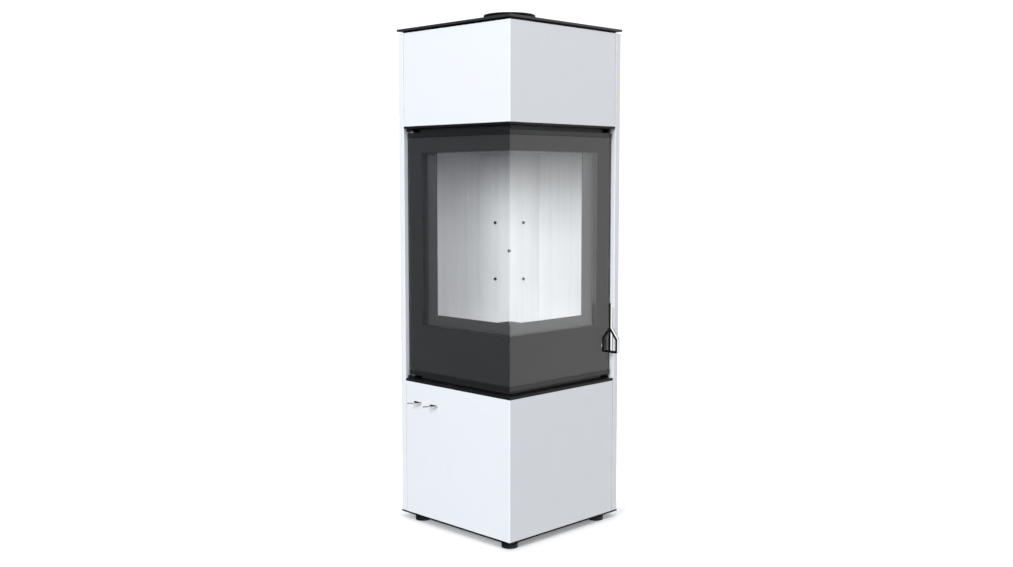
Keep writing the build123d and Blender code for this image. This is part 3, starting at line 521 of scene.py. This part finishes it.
def bare_metal(name, colour, other, stretch, rough, line_depth):
    """Bare, plated or polished metal with its drawing lines."""
    material, tree, shader = new_material(name, Metallic=1.0)
    lines = use_group(tree, DRAWN_LINES, {"Stretch": stretch, "Smoothest": rough[0], "Roughest": rough[1]})
    tree.links.new(mixed(tree, lines.outputs["Shade"], colour, other), shader.inputs["Base Color"])
    tree.links.new(lines.outputs["Roughness"], shader.inputs["Roughness"])
    bump(tree, shader, lines.outputs["Height"], strength=line_depth, distance=0.05 * MM)
    return material


def grey(value, blue=0.0):
    """A grey, with its blue raised by the given part."""
    return (value, value * (1 + blue / 2), value * (1 + blue), 1)


def vermiculite_board(name, most_top_shade, top_shade_colour):
    """Pressed white board: mica flakes, pores, faint upright press lines, and painted shade darkening it
    towards its top.
    """
    material, tree, shader = new_material(name, Roughness=0.92, Specular_IOR_Level=0.2)
    place = object_place(tree)
    flakes = add_node(tree, "ShaderNodeTexVoronoi", {"Vector": place, "Scale": 420.0}).outputs["Distance"]
    speckled = mixed(tree, ranged(tree, flakes, 0.1, 0.7), grey(0.79), grey(0.84))
    upright = add_node(tree, "ShaderNodeVectorMath", {0: place, 1: (55.0, 55.0, 0.9)}, operation="MULTIPLY")
    streaks = ranged(tree, noise(tree, upright.outputs[0], 1.0, detail=3.0, roughness=0.6), 0.45, 0.7)
    cloud = ranged(tree, noise(tree, place, 9.0, detail=5.0, roughness=0.6), 0.35, 0.75, 0.3, 1.0)
    colour = mixed(tree, node_maths(tree, "MULTIPLY", streaks, cloud), speckled, (0.72, 0.73, 0.735, 1))
    height = add_node(tree, "ShaderNodeSeparateXYZ", {0: place}).outputs["Z"]
    # Painted shade: the board darkens upwards from below the window's head, where the chamber's top lies in
    # shade.
    top_shade_start, top_shade_full = window_high - 140 * MM, window_high + 30 * MM
    top_shade = ranged(tree, height, top_shade_start, top_shade_full, 0.0, most_top_shade)
    tree.links.new(mixed(tree, top_shade, colour, top_shade_colour), shader.inputs["Base Color"])
    pores = noise(tree, place, 700.0, detail=5.0, roughness=0.7)
    relief = node_maths(tree, "ADD", node_maths(tree, "MULTIPLY", flakes, 0.6), pores)
    bump(tree, shader, relief, strength=0.25, distance=0.4 * MM)
    return material


def cast_iron_skin():
    """Coarse dark skin of the cast grate, with a little rust."""
    material, tree, shader = new_material("cast_iron_skin", Metallic=0.5)
    skin = use_group(tree, SPRAYED_GRAIN, {"Grain": 650.0, "Smoothest": 0.5, "Roughest": 0.75})
    colour = drifting(tree, (0.035, 0.034, 0.033, 1), (0.075, 0.068, 0.06, 1), scale=40.0)
    tree.links.new(colour, shader.inputs["Base Color"])
    tree.links.new(skin.outputs["Roughness"], shader.inputs["Roughness"])
    bump(tree, shader, skin.outputs["Height"], strength=0.7, distance=0.35 * MM)
    return material


def glass_fibre_yarn():
    """Grey yarn of the seal rope: fine crossed threads."""
    material, tree, shader = new_material("glass_fibre_yarn", Roughness=0.95, Sheen_Weight=0.3)
    threads = noise(tree, object_place(tree), 1500.0, detail=4.0, roughness=0.6)
    tone = ranged(tree, threads, 0.35, 0.65)
    tree.links.new(mixed(tree, tone, grey(0.045), grey(0.15)), shader.inputs["Base Color"])
    bump(tree, shader, threads, strength=0.5, distance=0.3 * MM)
    return material


def glass_ceramic():
    """Clear heat-proof glass, darker on the left wing as painted shade, that lets lamps into the chamber.
    """
    material, tree, shader = new_material(
        "glass_ceramic", Roughness=0.0, IOR=1.16, Transmission_Weight=1.0,
        Coat_Weight=1.0, Coat_Roughness=0.0, Coat_IOR=1.5,
    )
    # Painted shade: the left wing is a little darker than the right.
    across = add_node(tree, "ShaderNodeSeparateXYZ", {0: object_place(tree)}).outputs["X"]
    right_wing = middle.x + glass_back
    wing = ranged(tree, across, right_wing - 1 * MM, right_wing)
    painted_wing_shade = mixed(tree, wing, (0.93, 0.935, 0.94, 1), (0.985, 0.99, 0.99, 1))
    tree.links.new(painted_wing_shade, shader.inputs["Base Color"])
    rays = add_node(tree, "ShaderNodeLightPath")
    lamp_rays = node_maths(tree, "MAXIMUM", rays.outputs["Is Shadow Ray"], rays.outputs["Is Diffuse Ray"])
    clear = add_node(tree, "ShaderNodeBsdfTransparent", {"Color": grey(0.97)})
    choice = add_node(tree, "ShaderNodeMixShader", {
        0: lamp_rays, 1: shader.outputs["BSDF"], 2: clear.outputs["BSDF"],
    })
    tree.links.new(choice.outputs["Shader"], tree.nodes["Material Output"].inputs["Surface"])
    return material


def handle_steel_with_painted_shade():
    """Brushed steel side of the handle, with a painted shade band darkening it along its back edge."""
    material, tree, shader = new_material("brushed_handle", Metallic=1.0)
    lines = use_group(tree, DRAWN_LINES, {
        "Stretch": (900.0, 900.0, 20.0), "Smoothest": 0.2, "Roughest": 0.3,
    })
    brushed = mixed(tree, lines.outputs["Shade"], grey(0.78, 0.01), grey(0.88, 0.01))
    back = add_node(tree, "ShaderNodeSeparateXYZ", {0: object_place(tree)}).outputs["Y"]
    # Painted shade: a dark band along the back edge of the bright side.
    shade_band_start, shade_band_end = handle_high.y - 2.8 * MM, handle_high.y - 2.6 * MM
    shade_band = ranged(tree, back, shade_band_start, shade_band_end)
    tree.links.new(mixed(tree, shade_band, brushed, grey(0.02)), shader.inputs["Base Color"])
    tree.links.new(lines.outputs["Roughness"], shader.inputs["Roughness"])
    bump(tree, shader, lines.outputs["Height"], strength=0.08, distance=0.05 * MM)
    return material


white_enamel = painted(
    "white_enamel", (0.79, 0.805, 0.83, 1), (0.80, 0.815, 0.84, 1),
    rough=(0.27, 0.31), grain=700.0, peel=0.03, Coat_Weight=0.15, Coat_Roughness=0.1,
)
black_paint = painted(
    "black_stove_paint", grey(0.005, 0.1), grey(0.009, 0.1),
    rough=(0.42, 0.52), grain=1100.0, peel=0.15, dust=0.04, Specular_IOR_Level=0.2,
)
# A lighter copy of the black paint: painted light on the top plate.
lit_top_plate_paint = painted(
    "top_plate_painted_light", grey(0.020, 0.1), grey(0.026, 0.1),
    rough=(0.42, 0.52), grain=1100.0, peel=0.15, dust=0.04,
)
door_paint = painted(
    "door_black_paint", grey(0.006, 0.1), grey(0.010, 0.1), rough=(0.4, 0.5), grain=1100.0, peel=0.12,
)
soot_paint = painted(
    "heat_proof_grey", grey(0.03), (0.055, 0.052, 0.05, 1),
    rough=(0.6, 0.8), grain=800.0, peel=0.3, dust=0.1,
)
frame_paint = painted(
    "inner_frame_grey", grey(0.105), grey(0.125),
    rough=(0.5, 0.62), grain=900.0, peel=0.2, Specular_IOR_Level=0.3,
)
# A darker copy of the inner frame's grey: painted shade on the left frame member.
painted_shade_frame_paint = painted(
    "inner_frame_painted_shade", grey(0.045), grey(0.055),
    rough=(0.5, 0.62), grain=900.0, peel=0.2, Specular_IOR_Level=0.3,
)
# A darker, less shiny copy of the black paint: painted shade on the base plate and the flue collar.
shade_black_paint = painted(
    "black_painted_shade", grey(0.004), grey(0.006),
    rough=(0.5, 0.6), grain=1100.0, peel=0.15, Specular_IOR_Level=0.1,
)
enamel_print = painted(
    "printed_glass_border", grey(0.024), grey(0.027),
    rough=(0.45, 0.55), grain=1500.0, peel=0.02, Specular_IOR_Level=0.1,
)
foot_plastic = painted(
    "moulded_foot", grey(0.006), grey(0.010),
    rough=(0.45, 0.6), grain=1000.0, peel=0.15, Specular_IOR_Level=0.25,
)
# Black lacquer on the handle's faces, and a painted dark reflection on the air levers' upper and lower
# faces and inside the handle's loop.
lacquer_and_dark_reflection_black = painted(
    "black_lacquer_and_painted_dark_reflection", grey(0.006), grey(0.010),
    rough=(0.3, 0.4), grain=1300.0, peel=0.06, Specular_IOR_Level=0.2,
)
zinc = bare_metal(
    "zinc_plate", grey(0.50, 0.04), grey(0.64, 0.04),
    stretch=(30.0, 30.0, 400.0), rough=(0.3, 0.5), line_depth=0.15,
)
polished = bare_metal(
    "polished_steel", grey(0.72, 0.01), grey(0.82, 0.01),
    stretch=(700.0, 40.0, 700.0), rough=(0.14, 0.24), line_depth=0.06,
)
handle_steel = handle_steel_with_painted_shade()
iron = cast_iron_skin()
# The linings darken towards their top by painted shade; the baffle is darkened almost wholly.
board = vermiculite_board("vermiculite_board", most_top_shade=0.48, top_shade_colour=grey(0.35))
shade_darkened_board = vermiculite_board("shade_darkened_board", most_top_shade=0.95, top_shade_colour=grey(0.12))
yarn = glass_fibre_yarn()
glass = glass_ceramic()

FINISH = {
    "white_enamel": white_enamel, "black_steel": black_paint, "dark_steel": soot_paint,
    "grey_frame_steel": frame_paint, "black_door_steel": door_paint, "door_glass": glass,
    "vermiculite": board, "rope_seal": yarn, "zinc_steel": zinc, "polished_steel": polished,
    "handle_steel": handle_steel, "cast_grate": iron, "foot_rubber": foot_plastic,
}
for name, node in nodes.items():
    paint(node, FINISH[slot_of[name]])
# The base plate takes the darker copy of the black paint: painted shade along its edge.
paint(nodes["base_plate"], shade_black_paint)

# ------------------------------------------------------------------ plates, rails and boards
for name in (
    "lower_shelf", "upper_shelf", "door_bottom_rail", "door_top_rail", "lower_hinge_bracket",
    "upper_hinge_bracket",
):
    eased(name, sheet_ease)
# The top plate takes the lighter copy of the black paint, as painted light.
eased("top_plate", sheet_ease, lit_top_plate_paint)
for name in ("lining_right", "hearth_slab"):
    eased(name, board_ease)
# The baffle takes the board that is almost wholly darkened by painted shade.
eased("baffle", board_ease, shade_darkened_board)
# The left frame member carries the painted shade copy of the frame grey.
eased("front_frame_left", small_ease, painted_shade_frame_paint)
for name in ("log_guard", "latch_hook", "latch_catch", "grate", "foot_pads", "ash_pan"):
    eased(name, small_ease)
# The flue collar takes the darker copy of the black paint too: painted shade.
eased("flue_collar", small_ease, shade_black_paint)
for name in ("primary_air_lever", "secondary_air_lever"):
    lever = eased(name, lever_ease, polished, lacquer_and_dark_reflection_black)
    # Faces that look up or down take the black: a painted dark reflection on the polished levers.
    for polygon in lever.data.polygons:
        polygon.material_index = 1 if abs(polygon.normal.z) > squarely else 0


# ------------------------------------------------------------------ printed border of the glass
def wing_point(along, depth):
    """A point in the door's plan; along runs from its left edge over the front corner to its right edge."""
    corner = door_edge + depth
    if along <= corner:
        return Vector((middle.x - door_edge + along, middle.y - depth, 0))
    return Vector((middle.x + depth, middle.y - depth + along - corner, 0))


def printed_border():
    """The dark border, printed on the inside of the glass round the clear window."""
    depth = glass_back + ink_gap
    corner = door_edge + depth
    stops = [ink_inset, side_border, corner, 2 * corner - side_border, 2 * corner - ink_inset]
    heights = [glass_low.z + ink_inset, window_low, window_high, glass_high.z - ink_inset]
    window_band, window_columns = 1, (1, 2)
    bm = bmesh.new()
    grid = [[bm.verts.new(wing_point(stop, depth) + Vector((0, 0, z))) for z in heights] for stop in stops]
    for column, (left, right) in enumerate(zip(grid, grid[1:])):
        for band in range(len(heights) - 1):
            if band != window_band or column not in window_columns:
                bm.faces.new((left[band], right[band], right[band + 1], left[band + 1]))
    piece = mesh_object("printed_border", bm)
    ink = piece.modifiers.new("ink", "SOLIDIFY")
    ink.thickness = ink_thickness
    ink.offset = 0
    settle_modifiers(piece)
    paint(piece, enamel_print)
    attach(piece, "door")


printed_border()


# ------------------------------------------------------------------ rope seal
def rope_seal():
    """Round rope laid in four strands, along the middle of the solid seal's ring."""
    depth = door_back - seal_depth / 2
    side = middle.x - seal_low.x - seal_width / 2
    low, high = seal_low.z + seal_width / 2, seal_high.z - seal_width / 2
    plan = [
        Vector((middle.x - side, middle.y - depth, 0)), Vector((middle.x + depth, middle.y - depth, 0)),
        Vector((middle.x + depth, middle.y + side, 0)),
    ]
    points = [spot + Vector((0, 0, low)) for spot in plan]
    points += [spot + Vector((0, 0, high)) for spot in plan[::-1]]
    edges = [(index, (index + 1) % len(points)) for index in range(len(points))]
    length = 2 * (2 * (side + depth) + high - low)
    piece = grown(
        "rope_seal", rope_tree(), points, edges, Strands=strand_count, Turns=round(length / rope_lay),
        Points=round(length / rope_step), Strand_radius=1.75 * MM, Lay_radius=2.0 * MM,
        Corner_radius=8 * MM, Material=yarn,
    )
    stand_for(piece, "door_seal")


rope_seal()


# ------------------------------------------------------------------ screws and studs
def rear_screws(tree):
    """Round-headed screws in place of the plain hexagons along the rear seam."""
    radius = (screw_high.x - screw_low.x) / 2
    half_height = radius * cos(pi / 6)         # of a hexagon that stands on a flat side
    count = 5
    lowest, highest = screw_low.z + half_height, screw_high.z - half_height
    points = [
        ((screw_low.x + screw_high.x) / 2, screw_low.y, lowest + (highest - lowest) * step / (count - 1))
        for step in range(count)
    ]
    piece = grown(
        "rear_screws", tree, points, facing=[(0, 1, 0)] * count, Head_radius=0.9 * radius,
        Head_height=screw_high.y - screw_low.y, Socket_radius=2.3 * MM, Socket_depth=1.5 * MM,
        Material=zinc,
    )
    stand_for(smooth_by_angle(piece), "rear_panel_screws")


def door_screws(tree):
    """Screws that hold the glass clips, through the door's back sheet beside the seal."""
    aside = (door_edge + middle.x - seal_low.x) / 2
    below_window, above_window = 100 * MM, 25 * MM
    heights = [
        window_low - below_window, (3 * window_low + window_high) / 4, (window_low + 3 * window_high) / 4,
        window_high + above_window,
    ]
    points, facing = [], []
    for height in heights:
        points.append((middle.x - aside, middle.y - door_back, height))
        points.append((middle.x + door_back, middle.y + aside, height))
        facing += [(0, 1, 0), (-1, 0, 0)]
    piece = grown(
        "door_screws", tree, points, facing=facing, Head_radius=4.2 * MM, Head_height=2.2 * MM,
        Socket_radius=2.0 * MM, Socket_depth=1.4 * MM, Material=zinc,
    )
    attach(smooth_by_angle(piece), "door")


def foot_threads():
    """Threaded studs of the levelling feet."""
    places = [
        (x, y, stud_low.z) for x in (stud_low.x + stud_radius, stud_high.x - stud_radius)
        for y in (stud_low.y + stud_radius, stud_high.y - stud_radius)
    ]
    piece = grown(
        "foot_threads", thread_tree(), places, Radius=stud_radius, Pitch=1.5 * MM,
        Length=stud_high.z - stud_low.z, Material=zinc,
    )
    stand_for(smooth_by_angle(piece), "foot_studs")


screw_tree = socket_screw_tree()
rear_screws(screw_tree)
door_screws(screw_tree)
foot_threads()


# ------------------------------------------------------------------ handle
def finish_handle():
    """Flat strip bent to a blade and a loop: black faces, a painted dark reflection on the inner side of
    the loop, bright edges.
    """
    piece = eased("door_handle", strip_ease, handle_steel, lacquer_and_dark_reflection_black)
    blade = (handle_low.x + handle_high.x) / 2
    loop_edge = blade - 8 * MM
    for polygon in piece.data.polygons:
        # The inner side of the loop is painted black as a dark reflection of the blade.
        dark_reflecting_inner_side = polygon.normal.x > 0.5 and polygon.center.x < loop_edge
        polygon.material_index = 1 if abs(polygon.normal.y) > squarely or dark_reflecting_inner_side else 0
    piece.visible_glossy = False


finish_handle()

# ------------------------------------------------------------------ camera
CAMERA_FROM_MIDDLE = Vector((2.4461, -2.4611, 1.0529))    # from the column's middle, on the floor
CAMERA_HEADING = 0.78494                                  # radians from +Y towards -X
CAMERA_PITCH = 0.092603                                   # radians below the horizon
CAMERA_LENS = 40.30
CAMERA_SENSOR = 36

camera_data = bpy.data.cameras.new("camera")
camera_data.lens = CAMERA_LENS
camera_data.sensor_width = CAMERA_SENSOR
camera = bpy.data.objects.new("camera", camera_data)
bpy.context.scene.collection.objects.link(camera)
forward = Vector((
    -sin(CAMERA_HEADING) * cos(CAMERA_PITCH), cos(CAMERA_HEADING) * cos(CAMERA_PITCH), -sin(CAMERA_PITCH),
))
camera.location = Vector((middle.x, middle.y, 0)) + CAMERA_FROM_MIDDLE
camera.rotation_mode = "QUATERNION"
camera.rotation_quaternion = forward.to_track_quat("-Z", "Y")
bpy.context.scene.camera = camera


# ------------------------------------------------------------------ light and floor
def looked_at(tree):
    """One for rays from the camera, also where they have passed the glass without a reflection."""
    rays = add_node(tree, "ShaderNodeLightPath")
    unreflected = node_maths(tree, "LESS_THAN", rays.outputs["Glossy Depth"], 0.5)
    passed = node_maths(tree, "MULTIPLY", rays.outputs["Is Transmission Ray"], unreflected)
    return node_maths(tree, "MAXIMUM", rays.outputs["Is Camera Ray"], passed)


def studio_world():
    """White studio, bright to the right rear of the object and dim and bluish to its left front."""
    seen, bright_wall = (1.15, 1.15, 1.15, 1), (1.12, 1.12, 1.12, 1)
    dim_low, dim_high = (0.15, 0.15, 0.155, 1), (0.20, 0.225, 0.30, 1)
    soft_fill = (0.30, 0.31, 0.325, 1)
    world = bpy.data.worlds.new("studio")
    bpy.context.scene.world = world
    world.use_nodes = True
    tree = world.node_tree
    generated = add_node(tree, "ShaderNodeTexCoord").outputs["Generated"]
    toward = add_node(tree, "ShaderNodeVectorMath", {
        0: generated, 1: (DIAGONAL, DIAGONAL, 0),
    }, operation="DOT_PRODUCT")
    side = ranged(tree, toward.outputs["Value"], -0.8, 0.8)
    upward = add_node(tree, "ShaderNodeSeparateXYZ", {0: generated}).outputs["Z"]
    dim_wall = mixed(tree, ranged(tree, upward, -0.3, 0.3), dim_low, dim_high)
    wall = mixed(tree, side, dim_wall, bright_wall)
    rays = add_node(tree, "ShaderNodeLightPath")
    unseen = mixed(tree, rays.outputs["Is Diffuse Ray"], wall, soft_fill)
    tree.links.new(mixed(tree, looked_at(tree), unseen, seen), tree.nodes["Background"].inputs["Color"])


def softbox(name, offset, aim, width, height, power, colour):
    """A large lamp; its offset and the height it is aimed at are from the column's middle on the floor."""
    place = Vector((middle.x + offset[0], middle.y + offset[1], offset[2]))
    target = Vector((middle.x, middle.y, aim))
    data = bpy.data.lights.new(name, "AREA")
    data.shape = "RECTANGLE"
    data.size = width
    data.size_y = height
    data.energy = power
    data.color = colour
    light = bpy.data.objects.new(name, data)
    bpy.context.scene.collection.objects.link(light)
    light.location = place
    light.rotation_mode = "QUATERNION"
    light.rotation_quaternion = (target - place).to_track_quat("-Z", "Y")
    light.visible_glossy = False
    light.visible_camera = False


def studio_floor():
    """Pale floor that fades into the white room but keeps the stove's soft shadow. Its glow is painted
    light, seen only by the camera and through the glass: least under and beside the base, more out in the
    room, and most behind the stove, where it lightens the stove's shadow.
    """
    bm = bmesh.new()
    bmesh.ops.create_circle(bm, cap_ends=True, segments=96, radius=4.0)
    floor = mesh_object("studio_floor", bm)
    material, tree, shader = new_material(
        "pale_floor", Base_Color=grey(0.8), Roughness=0.95, Specular_IOR_Level=0.0,
        Emission_Color=grey(1.0),
    )
    place = object_place(tree)
    apart = add_node(tree, "ShaderNodeVectorMath", {
        0: place, 1: (middle.x, middle.y, 0),
    }, operation="SUBTRACT")
    apart = add_node(tree, "ShaderNodeVectorMath", {0: apart.outputs[0]}, operation="ABSOLUTE")
    apart = add_node(tree, "ShaderNodeSeparateXYZ", {0: apart.outputs[0]})
    outside = node_maths(tree, "MAXIMUM", apart.outputs["X"], apart.outputs["Y"])
    rearward = add_node(tree, "ShaderNodeVectorMath", {
        0: place, 1: (-DIAGONAL, DIAGONAL, 0),
    }, operation="DOT_PRODUCT")
    half = (base_high.x - base_low.x) / 2
    under, beside, away = half - 3 * MM, half + 12 * MM, half + 400 * MM       # from the middle outwards
    near_glow = ranged(tree, outside, under, beside, 0.17, 0.24)
    room_glow = ranged(tree, outside, beside, away, 0.0, 0.22)
    rear_glow = ranged(tree, rearward.outputs["Value"], 0.03, 0.3, 0.0, 0.4)
    front_glow = node_maths(tree, "ADD", near_glow, room_glow)
    tree.links.new(node_maths(tree, "ADD", front_glow, rear_glow), shader.inputs["Emission Strength"])
    unseen = add_node(tree, "ShaderNodeBsdfTransparent")
    choice = add_node(tree, "ShaderNodeMixShader", {
        0: looked_at(tree), 1: unseen.outputs["BSDF"], 2: shader.outputs["BSDF"],
    })
    tree.links.new(choice.outputs["Shader"], tree.nodes["Material Output"].inputs["Surface"])
    paint(floor, material)


studio_world()
studio_floor()
softbox("key", (2.2, -14.8, 6.0), aim=0.75, width=6.0, height=10.0, power=2260, colour=(0.94, 0.975, 1.0))
softbox("side", (14.8, -2.2, 6.0), aim=0.75, width=6.0, height=10.0, power=830, colour=(0.97, 0.985, 1.0))
softbox("overhead", (0.5, -0.5, 4.2), aim=0.0, width=3.0, height=3.0, power=45, colour=(1.0, 1.0, 1.0))
softbox("rear", (-8.0, 8.0, 4.5), aim=0.75, width=5.0, height=8.0, power=560, colour=(1.0, 1.0, 1.0))
bpy.context.scene.view_settings.view_transform = "Standard"
